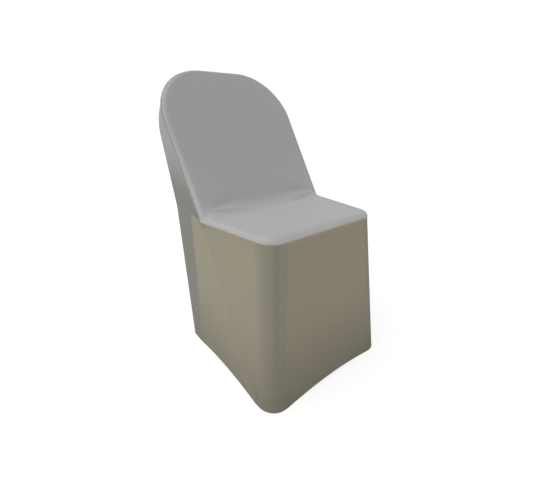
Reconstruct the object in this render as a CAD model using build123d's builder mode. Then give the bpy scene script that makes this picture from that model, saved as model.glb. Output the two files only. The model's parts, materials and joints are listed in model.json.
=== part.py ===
from build123d import *
from math import asin, atan2, cos, degrees, hypot, radians, sin, tan
import os

os.makedirs("parts", exist_ok=True)

# Driving dimensions in millimetres: the chair faces -Y, its left is +X, the floor is z = 0
LEAN = 33.0
FRAME_FOOT_X = 202.0
FRAME_FOOT_Y = -255.3
FRAME_SHOULDER_X = 214.0
FRAME_SHOULDER_S = 735.0
FRAME_TOP_S = 955.0
FRAME_BEND_R = 148.0
FRAME_R = 10.5
LEG_R = 9.5
TUBE_WALL = 1.2
TUBE_START_S = 14.0

SEAT_PIVOT_Z = 424.0
SEAT_TOP_Z = 442.0
SEAT_FRONT_Y = -218.0
SEAT_REAR_Y = 150.0
SEAT_HALF = 186.5
SEAT_SKIN = 4.0
SEAT_LIP_Z = 430.0
SEAT_NOSE_Z = 412.0

LEG_PIVOT_AHEAD = 115.0
LEG_PIVOT_DROP = 8.0
LEG_X = 173.0
LEG_FOOT_X = 192.0
LEG_FOOT_Y = 137.7
LEG_FOLDED_OFFSET = -22.0
LEG_BEND = 255.0
LEG_BEND_OFFSET = 5.0

LINK_OFFSET = -6.0
LINK_ON_LEG = 42.0
LINK_X = 189.2
LINK_THICK = 2.5
LINK_WIDTH = 12.0

PIN_R = 4.0
RUNNING_GAP = 0.08

CLOTH = 1.6
CLOTH_GAP = 0.3
POCKET_H = 38.0
HEM_RISE = 12.0
WELT_R = 1.3

# Cover outline: half width and depth position of its corners at the floor and at the seat
COVER_FLOOR = {"front": (229.0, -277.9), "rear": (206.0, 156.7)}
COVER_SEAT = {"front": (190.0, -220.8), "rear": (198.7, 223.7)}
COVER_SEAT_Z = 444.0
COVER_SEAM_Z = 419.0
CORNER_R_FLOOR = {"front": 46.0, "post": 40.0, "rear": 14.0}
CORNER_R_SEAT = {"front": 52.0, "post": 20.0, "rear": 11.0}
EDGE_R = 11.0
BACK_EASE = 0.5
REAR_EDGE_R = 11.0
REAR_TAPER = 9.0
ROLL_R = 30.0
JUNCTION_R = 60.0
JUNCTION_HALF = 204.0

SINE = sin(radians(LEAN))
COSINE = cos(radians(LEAN))
SIDES = {"left": 1, "right": -1}


# Places in the leaning frame plane: s runs up the frame, d stands out in front of it
def frame_point(x, s, d=0.0):
    return Vector(x, FRAME_FOOT_Y + s * SINE - d * COSINE, s * COSINE + d * SINE)


def frame_coordinates(y, z):
    return (y - FRAME_FOOT_Y) * SINE + z * COSINE, z * SINE - (y - FRAME_FOOT_Y) * COSINE


def frame_plane(d=0.0):
    return Plane(origin=frame_point(0, 0, d), x_dir=(1, 0, 0), z_dir=(0, -COSINE, SINE))


AHEAD = Axis(frame_point(0, 0), (0, -COSINE, SINE))


def post_x(s):
    return FRAME_FOOT_X + (FRAME_SHOULDER_X - FRAME_FOOT_X) * s / FRAME_SHOULDER_S


def turned(point, angle):
    s, d = point
    return s * cos(angle) - d * sin(angle), s * sin(angle) + d * cos(angle)


# Pivots of the fold: seat on frame, legs under seat, links between frame and legs
SEAT_PIVOT = (SEAT_PIVOT_Z / COSINE, 0.0)
SEAT_PIVOT_Y = frame_point(0, *SEAT_PIVOT).Y
LEG_PIVOT_Y = SEAT_PIVOT_Y - LEG_PIVOT_AHEAD
LEG_PIVOT_Z = SEAT_PIVOT_Z - LEG_PIVOT_DROP
LEG_PIVOT = frame_coordinates(LEG_PIVOT_Y, LEG_PIVOT_Z)
LEG_PIVOT_FOLDED = (SEAT_PIVOT[0] + LEG_PIVOT_AHEAD, LEG_PIVOT_DROP)
LEG_FOOT = frame_coordinates(LEG_FOOT_Y, 0.0)
LEG_LENGTH = hypot(LEG_FOOT[0] - LEG_PIVOT[0], LEG_FOOT[1] - LEG_PIVOT[1])
LEG_SLANT = asin((LEG_FOLDED_OFFSET - LEG_PIVOT_DROP) / LEG_LENGTH)
LEG_FOOT_FOLDED = (LEG_PIVOT_FOLDED[0] - LEG_LENGTH * cos(LEG_SLANT), LEG_FOLDED_OFFSET)
LEG_TURN = atan2(LEG_FOOT[1] - LEG_PIVOT[1], LEG_FOOT[0] - LEG_PIVOT[0]) - atan2(
    LEG_FOOT_FOLDED[1] - LEG_PIVOT_FOLDED[1], LEG_FOOT_FOLDED[0] - LEG_PIVOT_FOLDED[0]
)


# A leg is drawn as it lies when folded, and this turns that place to the open chair
def leg_place(s, d):
    out = turned((s - LEG_PIVOT_FOLDED[0], d - LEG_PIVOT_FOLDED[1]), LEG_TURN)
    return LEG_PIVOT[0] + out[0], LEG_PIVOT[1] + out[1]


def leg_point(x, s, d):
    return frame_point(x, *leg_place(s, d))


LEG_BEND_S = LEG_PIVOT_FOLDED[0] - LEG_BEND
BEND_SLOPE = (LEG_PIVOT_DROP - LEG_BEND_OFFSET) / LEG_BEND
LINK_END_FOLDED = (LEG_PIVOT_FOLDED[0] - LINK_ON_LEG, LEG_PIVOT_DROP - BEND_SLOPE * LINK_ON_LEG)
LINK_END = leg_place(*LINK_END_FOLDED)
LINK_PIVOT_S = (
    LINK_END[0] ** 2
    + LINK_END[1] ** 2
    - LINK_END_FOLDED[0] ** 2
    - LINK_END_FOLDED[1] ** 2
    - 2 * LINK_OFFSET * (LINK_END[1] - LINK_END_FOLDED[1])
) / (2 * (LINK_END[0] - LINK_END_FOLDED[0]))
LINK_PIVOT = (LINK_PIVOT_S, LINK_OFFSET)


# Outlines: rounded closed polygon, and the arched top of the frame
def rounded_outline(corners, radii):
    count = len(corners)
    starts = []
    for i, (corner, radius) in enumerate(zip(corners, radii)):
        here = Vector(*corner)
        back = (Vector(*corners[i - 1]) - here).normalized()
        ahead = (Vector(*corners[(i + 1) % count]) - here).normalized()
        half = radians(back.get_angle(ahead)) / 2
        run = radius / tan(half)
        bisector = (back + ahead).normalized()
        middle = here + bisector * (radius / sin(half) - radius)
        starts.append((here + back * run, middle, here + ahead * run))
    for i, (start, middle, end) in enumerate(starts):
        ThreePointArc(start, middle, end)
        Line(end, starts[(i + 1) % count][0])


def arch_line(low_s, grow=0.0, whole=True):
    foot, corner, top = post_x(low_s) + grow, post_x(FRAME_TOP_S) + grow, FRAME_TOP_S + grow
    points = [(-foot, low_s), (-corner, top), (0, top)]
    if whole:
        points = points[:2] + [(corner, top), (foot, low_s)]
    FilletPolyline(*points, radius=FRAME_BEND_R + grow)


def place_at(point, direction):
    return Plane(origin=point, z_dir=direction)


def cross_plane(x, s, d):
    return Plane(origin=frame_point(x, s, d), x_dir=(0, SINE, COSINE), z_dir=(1, 0, 0))


def keep(part, name):
    part.label = name
    export_step(part, f"parts/{name}.step")


# Round bar or tube along a path: straight runs are extruded and bends are revolved
def tube_along(path, radius, wall=0.0):
    with BuildPart() as tube:
        for run in path.edges():
            start, way = run @ 0, run % 0
            with BuildSketch(place_at(start, way)):
                Circle(radius)
                if wall:
                    Circle(radius - wall, mode=Mode.SUBTRACT)
            if run.geom_type == GeomType.LINE:
                extrude(amount=run.length)
            else:
                turn = Axis(run.arc_center, (start - run.arc_center).cross(way))
                revolve(axis=turn, revolution_arc=degrees(run.length / run.radius))
    return tube.part


# Frame tube: one inverted U, legs in front and back posts above
with BuildLine(frame_plane()) as frame_path:
    arch_line(TUBE_START_S, whole=False)
with BuildPart() as frame_tube:
    add(tube_along(frame_path.line, FRAME_R, TUBE_WALL))
    mirror(about=Plane.YZ)
    for side in SIDES.values():
        for s, d in (SEAT_PIVOT, LINK_PIVOT):
            with BuildSketch(cross_plane(0, s, d)):
                Circle(PIN_R)
            extrude(amount=side * 260, mode=Mode.SUBTRACT)
keep(frame_tube.part, "frame_tube")

FRAME_AXIS_START = frame_path.line @ 0
FRAME_AXIS = frame_path.line % 0

# Front stretcher: a thinner tube between the front legs, coped to them
STRETCHER_S = 118.0
STRETCHER_R = 8.0
with BuildPart() as front_stretcher:
    with BuildSketch(cross_plane(0, STRETCHER_S, 0)):
        Circle(STRETCHER_R)
        Circle(STRETCHER_R - TUBE_WALL, mode=Mode.SUBTRACT)
    extrude(amount=post_x(STRETCHER_S), both=True)
    for side in SIDES.values():
        with BuildSketch(
            place_at(
                frame_point(side * FRAME_FOOT_X, 0),
                frame_point(side * FRAME_SHOULDER_X, FRAME_SHOULDER_S)
                - frame_point(side * FRAME_FOOT_X, 0),
            )
        ):
            Circle(FRAME_R)
        extrude(amount=300, mode=Mode.SUBTRACT)
keep(front_stretcher.part, "front_stretcher")

# Back panel: a dished moulding between the posts with a turned rim and four stiffening ribs
PANEL_LOW_S = 758.0
PANEL_CORNER = 22.0
PANEL_GAP_TO_POST = 1.0
PANEL_DEPTH = 7.0
PANEL_SKIN = 4.0
PANEL_BEVEL = 3.0
PANEL_RIM = 20.0
PANEL_RIBS = (-108.0, -36.0, 36.0, 108.0)
PANEL_RIB = 4.0
PANEL_RIB_RUN = 220.0
PANEL_MIDDLE_S = 840.0
with BuildPart() as back_panel:
    with BuildSketch(frame_plane(-PANEL_DEPTH)):
        with BuildLine():
            low = PANEL_LOW_S + PANEL_CORNER
            half = post_x(low) - FRAME_R - PANEL_GAP_TO_POST
            arch_line(low, -FRAME_R - PANEL_GAP_TO_POST)
            RadiusArc((half, low), (half - PANEL_CORNER, PANEL_LOW_S), PANEL_CORNER)
            edge_x = half - PANEL_CORNER
            ThreePointArc((edge_x, PANEL_LOW_S), (0, PANEL_LOW_S + 8), (-edge_x, PANEL_LOW_S))
            RadiusArc((PANEL_CORNER - half, PANEL_LOW_S), (-half, low), PANEL_CORNER)
        make_face()
    extrude(amount=2 * PANEL_DEPTH)
    front = back_panel.faces().filter_by(GeomType.PLANE).sort_by(AHEAD)[-1]
    chamfer(front.edges(), PANEL_BEVEL)
    with BuildSketch(frame_plane(-PANEL_DEPTH)):
        with BuildLine():
            rim_s = PANEL_LOW_S + PANEL_RIM
            rim_x = post_x(rim_s) - FRAME_R - PANEL_RIM
            arch_line(rim_s, -FRAME_R - PANEL_RIM)
            Line((rim_x, rim_s), (-rim_x, rim_s))
        make_face()
        for x in PANEL_RIBS:
            with Locations((x, PANEL_MIDDLE_S)):
                Rectangle(PANEL_RIB, PANEL_RIB_RUN, mode=Mode.SUBTRACT)
    extrude(amount=2 * PANEL_DEPTH - PANEL_SKIN, mode=Mode.SUBTRACT)
    with BuildSketch(frame_plane(PANEL_DEPTH - 1.2)):
        with Locations((0, 834)):
            SlotOverall(250, 66)
    extrude(amount=4, taper=-30, mode=Mode.SUBTRACT)
keep(back_panel.part, "back_panel")

# Back tabs: plates welded behind the posts, each with a domed screw through the panel rim
TAB_X = 186.0
TAB_INNER_X = 176.0
TAB_HEIGHT = 18.0
TAB_THICK = 2.2
TAB_TO_AXIS = 7.9
SCREW_HOLE_R = 2.6
SCREW_HEAD_R = 5.0
SCREW_HEAD = 2.2
TAB_PLACES = [(side, s) for side in SIDES.values() for s in (778.0, 798.0)]
with BuildPart() as back_tabs:
    for side, s in TAB_PLACES:
        reach = post_x(s) - TAB_TO_AXIS - TAB_INNER_X
        with BuildSketch(frame_plane(-PANEL_DEPTH - TAB_THICK - 0.1)):
            with Locations((side * (TAB_INNER_X + reach / 2), s)):
                Rectangle(reach, TAB_HEIGHT)
            with Locations((side * TAB_X, s)):
                Circle(SCREW_HOLE_R, mode=Mode.SUBTRACT)
        extrude(amount=TAB_THICK)
keep(back_tabs.part, "back_tabs")

with BuildPart() as back_screws:
    for side, s in TAB_PLACES:
        with BuildSketch(frame_plane(PANEL_DEPTH + 0.1)):
            with Locations((side * TAB_X, s)):
                Circle(SCREW_HEAD_R)
        extrude(amount=SCREW_HEAD)
    heads = back_screws.edges().filter_by(GeomType.CIRCLE).sort_by(AHEAD)[-len(TAB_PLACES) :]
    chamfer(heads, SCREW_HEAD / 2)
keep(back_screws.part, "back_screws")


# Foot cap: a rubber cup on a tube end, cut flat for the floor
CAP_WALL = 2.5
CAP_BELOW = 26.0
CAP_CUP = 32.0
CAP_BEVEL = 1.2


def foot_cap(point, direction, tube_r, name):
    with BuildPart() as cap:
        with BuildSketch(place_at(point - direction * CAP_BELOW, direction)):
            Circle(tube_r + CAP_WALL)
        extrude(amount=CAP_BELOW + CAP_CUP)
        chamfer(cap.edges().sort_by(Axis.Z)[-1], CAP_BEVEL)
        with BuildSketch(place_at(point, direction)):
            Circle(tube_r + 0.05)
        extrude(amount=2 * CAP_CUP, mode=Mode.SUBTRACT)
        with BuildSketch(Plane.XY.offset(CLOTH + 0.2)):
            with Locations((point.X, point.Y)):
                Rectangle(5 * CAP_BELOW, 5 * CAP_BELOW)
        extrude(amount=-3 * CAP_BELOW, mode=Mode.SUBTRACT)
    keep(cap.part, name)


for name, side in SIDES.items():
    start = Vector(side * abs(FRAME_AXIS_START.X), FRAME_AXIS_START.Y, FRAME_AXIS_START.Z)
    way = Vector(side * abs(FRAME_AXIS.X), FRAME_AXIS.Y, FRAME_AXIS.Z)
    foot_cap(start, way, FRAME_R, f"front_foot_cap_{name}")

# Pivot pins that stay with the frame: seat pivots and link pivots, headed inside
EAR_X = 195.8
EAR_THICK = 3.0
with BuildPart() as seat_pivot_pins:
    for side in SIDES.values():
        with BuildSketch(cross_plane(side * (EAR_X - 0.3), *SEAT_PIVOT)):
            Circle(PIN_R - 0.02)
        extrude(amount=side * 24.5)
        with BuildSketch(cross_plane(side * (EAR_X - 2.6), *SEAT_PIVOT)):
            Circle(PIN_R + 3.5)
        extrude(amount=side * 2.3)
keep(seat_pivot_pins.part, "seat_pivot_pins")

with BuildPart() as link_pivot_pins:
    for side in SIDES.values():
        with BuildSketch(cross_plane(side * (LINK_X - 1.6), *LINK_PIVOT)):
            Circle(PIN_R + 2.5)
        extrude(amount=side * 1.3)
        with BuildSketch(cross_plane(side * (LINK_X - 0.4), *LINK_PIVOT)):
            Circle(PIN_R - 0.02)
        extrude(amount=side * 30)
        with BuildSketch(cross_plane(side * (LINK_X + LINK_THICK + 0.4), *LINK_PIVOT)):
            Circle(PIN_R + 2)
        extrude(amount=side * 6.4)
keep(link_pivot_pins.part, "link_pivot_pins")

# Seat pan: a moulded tray with a rolled nose in front, a shallow lip and a grid of ribs below
SEAT_RIB = 3.2
SEAT_RIB_Z = 422.0
SEAT_RIBS_X = (-120.0, -40.0, 40.0, 120.0)
SEAT_RIBS_Y = (-150.0, -71.5, 6.0, 84.0)
with BuildPart() as seat_pan:
    with BuildSketch(Plane.XY.offset(SEAT_NOSE_Z)):
        with BuildLine():
            rounded_outline(
                [
                    (-SEAT_HALF, SEAT_FRONT_Y),
                    (SEAT_HALF, SEAT_FRONT_Y),
                    (SEAT_HALF, SEAT_REAR_Y),
                    (-SEAT_HALF, SEAT_REAR_Y),
                ],
                [50, 50, 36, 36],
            )
        make_face()
    extrude(amount=SEAT_TOP_Z - SEAT_NOSE_Z)
    fillet(seat_pan.faces().sort_by(Axis.Z)[-1].edges(), EDGE_R - 1)
    with BuildSketch(Plane.YZ):
        with BuildLine():
            roll = ROLL_R - 1
            low, far = SEAT_TOP_Z - roll, SEAT_FRONT_Y + roll
            RadiusArc((SEAT_FRONT_Y, low), (far, SEAT_TOP_Z), roll)
            Line((far, SEAT_TOP_Z), (far, SEAT_TOP_Z + 9))
            Line((far, SEAT_TOP_Z + 9), (SEAT_FRONT_Y - 9, SEAT_TOP_Z + 9))
            Line((SEAT_FRONT_Y - 9, SEAT_TOP_Z + 9), (SEAT_FRONT_Y - 9, low))
            Line((SEAT_FRONT_Y - 9, low), (SEAT_FRONT_Y, low))
        make_face()
    extrude(amount=300, both=True, mode=Mode.SUBTRACT)
    for inset, nose, depth in ((3, 3, 17), (3, 17, 9), (8, 25, 6), (14, 32, SEAT_SKIN)):
        with BuildSketch(Plane.XY.offset(SEAT_NOSE_Z)):
            with BuildLine():
                rounded_outline(
                    [
                        (-SEAT_HALF + inset, SEAT_FRONT_Y + nose),
                        (SEAT_HALF - inset, SEAT_FRONT_Y + nose),
                        (SEAT_HALF - inset, SEAT_REAR_Y - inset),
                        (-SEAT_HALF + inset, SEAT_REAR_Y - inset),
                    ],
                    [46, 46, 30, 30],
                )
            make_face()
        extrude(amount=SEAT_TOP_Z - depth - SEAT_NOSE_Z, mode=Mode.SUBTRACT)
    with BuildSketch(Plane.XY.offset(SEAT_NOSE_Z - 1)):
        with Locations((0, SEAT_FRONT_Y + 40 + 250)):
            Rectangle(500, 500)
    extrude(amount=SEAT_LIP_Z - SEAT_NOSE_Z + 1, mode=Mode.SUBTRACT)
    with BuildSketch(Plane.XY.offset(SEAT_RIB_Z)):
        for x in SEAT_RIBS_X:
            with Locations((x, -36)):
                Rectangle(SEAT_RIB, 330)
        for y in SEAT_RIBS_Y:
            with Locations((0, y)):
                Rectangle(290, SEAT_RIB)
    extrude(amount=SEAT_TOP_Z - SEAT_SKIN - SEAT_RIB_Z + 0.5)
    for side in SIDES.values():
        with BuildSketch(Plane.XY.offset(SEAT_LIP_Z - 2)):
            with Locations((side * (SEAT_HALF - 8), SEAT_PIVOT_Y - 4)):
                Rectangle(30, 30)
        extrude(amount=SEAT_TOP_Z - SEAT_SKIN - SEAT_LIP_Z + 2, mode=Mode.SUBTRACT)
    with BuildSketch(Plane.XY.offset(SEAT_TOP_Z - 1.2)):
        with Locations((0, -60)):
            RectangleRounded(270, 230, 60)
    extrude(amount=3, taper=-35, mode=Mode.SUBTRACT)
keep(seat_pan.part, "seat_pan")

# Seat brackets: a tab under the pan, joggled out to an ear round the seat pivot
BRACKET_THICK = 2.4
SMALL_HEAD_R = 4.0
BRACKET_Z = SEAT_PIVOT_Z + 11.0
for name, side in SIDES.items():
    with BuildPart() as bracket:
        with BuildSketch(Plane.YZ.offset(side * EAR_X)):
            with Locations((SEAT_PIVOT_Y, SEAT_PIVOT_Z)):
                Circle(12)
            with Locations((SEAT_PIVOT_Y - 4, SEAT_PIVOT_Z + 6.6)):
                Rectangle(24, 13.2)
            with Locations((SEAT_PIVOT_Y, SEAT_PIVOT_Z)):
                Circle(PIN_R + RUNNING_GAP, mode=Mode.SUBTRACT)
        extrude(amount=side * EAR_THICK)
        with BuildSketch(Plane.XY.offset(BRACKET_Z)):
            with Locations((side * (EAR_X + EAR_THICK - 24), SEAT_PIVOT_Y - 4)):
                Rectangle(48, 24)
        extrude(amount=BRACKET_THICK)
        chamfer(bracket.edges().filter_by(Axis.Y).sort_by(Axis.Z)[-1], 1.0)
        with BuildSketch(Plane.XY.offset(SEAT_PIVOT_Z)):
            with Locations((side * 160, SEAT_PIVOT_Y - 9), (side * 160, SEAT_PIVOT_Y + 1)):
                Circle(2.2)
        extrude(amount=20, mode=Mode.SUBTRACT)
    keep(bracket.part, f"seat_bracket_{name}")

with BuildPart() as bracket_screws:
    for side in SIDES.values():
        for y in (-9, 1):
            with BuildSketch(Plane.XY.offset(BRACKET_Z - 0.1)):
                with Locations((side * 160, SEAT_PIVOT_Y + y)):
                    Circle(SMALL_HEAD_R)
            extrude(amount=-SCREW_HEAD)
            chamfer(bracket_screws.edges().filter_by(GeomType.CIRCLE).sort_by(Axis.Z)[0], SCREW_HEAD / 2)
keep(bracket_screws.part, "bracket_screws")

# Leg hangers: plates under the pan that carry the rear-leg pivots
HANGER_X = 158.0
for name, side in SIDES.items():
    with BuildPart() as hanger:
        with BuildSketch(Plane.YZ.offset(side * HANGER_X)):
            with Locations((LEG_PIVOT_Y, LEG_PIVOT_Z)):
                Circle(12)
            with Locations((LEG_PIVOT_Y, (LEG_PIVOT_Z + SEAT_TOP_Z - SEAT_SKIN - 0.2) / 2)):
                Rectangle(40, SEAT_TOP_Z - SEAT_SKIN - 0.2 - LEG_PIVOT_Z)
            with Locations((LEG_PIVOT_Y, LEG_PIVOT_Z)):
                Circle(PIN_R, mode=Mode.SUBTRACT)
        extrude(amount=side * 3)
        with BuildSketch(Plane.XY.offset(SEAT_TOP_Z - SEAT_SKIN - 3.2)):
            with Locations((side * (HANGER_X - 10), LEG_PIVOT_Y)):
                Rectangle(20, 40)
        extrude(amount=3)
    keep(hanger.part, f"leg_hanger_{name}")

with BuildPart() as hanger_screws:
    for side in SIDES.values():
        for y in (-12, 12):
            with BuildSketch(Plane.XY.offset(SEAT_TOP_Z - SEAT_SKIN - 3.3)):
                with Locations((side * (HANGER_X - 11), LEG_PIVOT_Y + y)):
                    Circle(SMALL_HEAD_R)
            extrude(amount=-SCREW_HEAD)
            chamfer(hanger_screws.edges().filter_by(GeomType.CIRCLE).sort_by(Axis.Z)[0], SCREW_HEAD / 2)
keep(hanger_screws.part, "hanger_screws")

with BuildPart() as leg_pivot_pins:
    for side in SIDES.values():
        with BuildSketch(cross_plane(side * (HANGER_X - 0.3), *LEG_PIVOT)):
            Circle(PIN_R - 0.02)
        extrude(amount=side * 25.7)
        with BuildSketch(cross_plane(side * (HANGER_X - 2.5), *LEG_PIVOT)):
            Circle(PIN_R + 3)
        extrude(amount=side * 2.4)
keep(leg_pivot_pins.part, "leg_pivot_pins")

# Rear legs: straight under the seat, then bent back and splayed to the floor
LEG_TOP = 10.0
BEND_RUN = 34.0
LEG_END_SHARE = 0.955
REAR_STRETCHER_R = 7.0
REAR_STRETCHER_SHARE = 0.42
FOOT_RUN = (LEG_BEND_S - LEG_FOOT_FOLDED[0], LEG_FOLDED_OFFSET - LEG_BEND_OFFSET)


def leg_axis(share):
    s = LEG_BEND_S - FOOT_RUN[0] * share
    d = LEG_BEND_OFFSET + FOOT_RUN[1] * share
    return LEG_X + (LEG_FOOT_X - LEG_X) * share, s, d


def leg_top(side):
    s, d = LEG_PIVOT_FOLDED[0] + LEG_TOP, LEG_PIVOT_DROP + BEND_SLOPE * LEG_TOP
    return leg_point(side * LEG_X, s, d)


def leg_line(side):
    x, s, d = leg_axis(LEG_END_SHARE)
    foot, top = leg_point(side * x, s, d), leg_top(side)
    bend = leg_point(side * LEG_X, LEG_BEND_S, LEG_BEND_OFFSET)
    after = bend + (foot - bend).normalized() * BEND_RUN
    before = bend + (top - bend).normalized() * BEND_RUN
    Line(foot, after)
    TangentArc(after, before, tangent=after - foot)
    Line(before, top)


leg_paths = {}
for name, side in SIDES.items():
    with BuildLine() as leg_path:
        leg_line(side)
    leg_paths[name] = leg_path.line
    with BuildPart() as leg:
        add(tube_along(leg_path.line, LEG_R, TUBE_WALL))
        with BuildSketch(cross_plane(0, *LEG_PIVOT)):
            Circle(PIN_R + RUNNING_GAP)
        extrude(amount=side * 260, mode=Mode.SUBTRACT)
    keep(leg.part, f"rear_leg_{name}")
    foot_cap(leg_path.line @ 0, leg_path.line % 0, LEG_R, f"rear_foot_cap_{name}")

with BuildPart() as rear_stretcher:
    x, s, d = leg_axis(REAR_STRETCHER_SHARE)
    with BuildSketch(cross_plane(0, *leg_place(s, d))):
        Circle(REAR_STRETCHER_R)
        Circle(REAR_STRETCHER_R - TUBE_WALL, mode=Mode.SUBTRACT)
    extrude(amount=x, both=True)
    for path in leg_paths.values():
        add(tube_along(path, LEG_R), mode=Mode.SUBTRACT)
keep(rear_stretcher.part, "rear_stretcher")

# Leg plugs: bevelled plastic stoppers in the upper ends of the rear legs
PLUG_HEAD = 3.0
PLUG_BEVEL = 2.0
for name, side in SIDES.items():
    with BuildPart() as plug:
        top = leg_top(side)
        down = leg_point(side * LEG_X, LEG_PIVOT_FOLDED[0], LEG_PIVOT_DROP) - top
        with BuildSketch(place_at(top + down.normalized() * -0.05, down * -1)):
            Circle(LEG_R)
        extrude(amount=PLUG_HEAD)
        rim = plug.edges().filter_by(GeomType.CIRCLE).sort_by(Axis(top, down * -1))[-1]
        chamfer(rim, PLUG_BEVEL)
        with BuildSketch(place_at(top + down.normalized() * -0.05, down)):
            Circle(LEG_R - TUBE_WALL - 0.05)
        extrude(amount=6)
    keep(plug.part, f"leg_plug_{name}")

# Links: crescent bars between frame and rear legs, with the leg-end stud on each
LINK_CHORD = Vector(LINK_END[0] - LINK_PIVOT[0], LINK_END[1] - LINK_PIVOT[1])
LINK_BOW = 4.0
for name, side in SIDES.items():
    with BuildPart() as link:
        bar_plane = Plane(
            origin=frame_point(side * LINK_X, 0), x_dir=(0, SINE, COSINE), z_dir=(side, 0, 0)
        )
        bow = Vector(LINK_CHORD.Y, -LINK_CHORD.X).normalized() * LINK_BOW
        middle = Vector(*LINK_PIVOT) + LINK_CHORD * 0.5 - bow
        with BuildSketch(bar_plane):
            with BuildLine(mode=Mode.PRIVATE) as bar_line:
                ThreePointArc(
                    (LINK_PIVOT[0], side * LINK_PIVOT[1]),
                    (middle.X, side * middle.Y),
                    (LINK_END[0], side * LINK_END[1]),
                )
            SlotArc(bar_line.edges()[0], LINK_WIDTH)
            with Locations((LINK_PIVOT[0], side * LINK_PIVOT[1])):
                Circle(PIN_R + RUNNING_GAP, mode=Mode.SUBTRACT)
            with Locations((LINK_END[0], side * LINK_END[1])):
                Circle(PIN_R, mode=Mode.SUBTRACT)
        extrude(amount=LINK_THICK)
    keep(link.part, f"link_{name}")

with BuildPart() as link_studs:
    for side in SIDES.values():
        with BuildSketch(cross_plane(side * (LEG_X + LEG_R + 0.6), *LINK_END)):
            Circle(PIN_R + 1.6)
        extrude(amount=side * (LINK_X - LEG_X - LEG_R - 0.7))
        with BuildSketch(cross_plane(side * (LINK_X - 0.4), *LINK_END)):
            Circle(PIN_R - 0.02)
        extrude(amount=side * (LINK_THICK + 1.4))
        with BuildSketch(cross_plane(side * (LINK_X + LINK_THICK + 0.1), *LINK_END)):
            Circle(PIN_R + 1.6)
        extrude(amount=side * 1.6)
keep(link_studs.part, "link_studs")


# Rear face of the cover: one plane from the rear hem to just behind the top of the back
BACK_CROWN = frame_point(0, FRAME_TOP_S)
REAR_WRAP = (FRAME_R + CLOTH_GAP + CLOTH + BACK_EASE) * 1.013
BACK_LOW_S = 470.0
BACK_REACH = 360.0
REAR_SLOPE = (BACK_CROWN.Y + REAR_WRAP - COVER_FLOOR["rear"][1]) / BACK_CROWN.Z
COVER_SEAT["rear"] = (COVER_SEAT["rear"][0], COVER_FLOOR["rear"][1] + REAR_SLOPE * COVER_SEAT_Z)

# Widest line of the cover, where it passes outside the posts of the frame
POST_WRAP = FRAME_R + CLOTH_GAP + CLOTH + BACK_EASE - 0.2
POST_FLOOR_Y = FRAME_FOOT_Y + 40
POST_SEAT_Y = POST_FLOOR_Y + 0.86 * COVER_SEAT_Z * tan(radians(LEAN))
COVER_FLOOR["post"] = (COVER_FLOOR["front"][0], POST_FLOOR_Y)
COVER_SEAT["post"] = (post_x(COVER_SEAT_Z / COSINE) + POST_WRAP, POST_SEAT_Y)


# Cover hull: the stretched outer shape, drawn in by a depth to give its inner face
def cover_corners(z, depth):
    share = z / COVER_SEAT_Z
    corners = {}
    for key, inward in (("front", 1), ("post", 0), ("rear", -1)):
        low, high = COVER_FLOOR[key], COVER_SEAT[key]
        x = low[0] + (high[0] - low[0]) * share - depth
        y = low[1] + (high[1] - low[1]) * share + inward * depth
        corners[key] = (x, y)
    return corners


def cover_section(z, depth):
    c = cover_corners(z, depth)
    share = min(max(z / COVER_SEAT_Z, 0), 1)
    radius = {}
    for key in c:
        radius[key] = CORNER_R_FLOOR[key] + (CORNER_R_SEAT[key] - CORNER_R_FLOOR[key]) * share
        radius[key] = radius[key] - depth
    keys = ["front", "front", "post", "rear", "rear", "post"]
    signs = [-1, 1, 1, 1, -1, -1]
    with BuildSketch(Plane.XY.offset(z)) as section:
        with BuildLine():
            rounded_outline(
                [(sign * c[key][0], c[key][1]) for key, sign in zip(keys, signs)],
                [radius[key] for key in keys],
            )
        make_face()
    return section.sketch.face()


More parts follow.
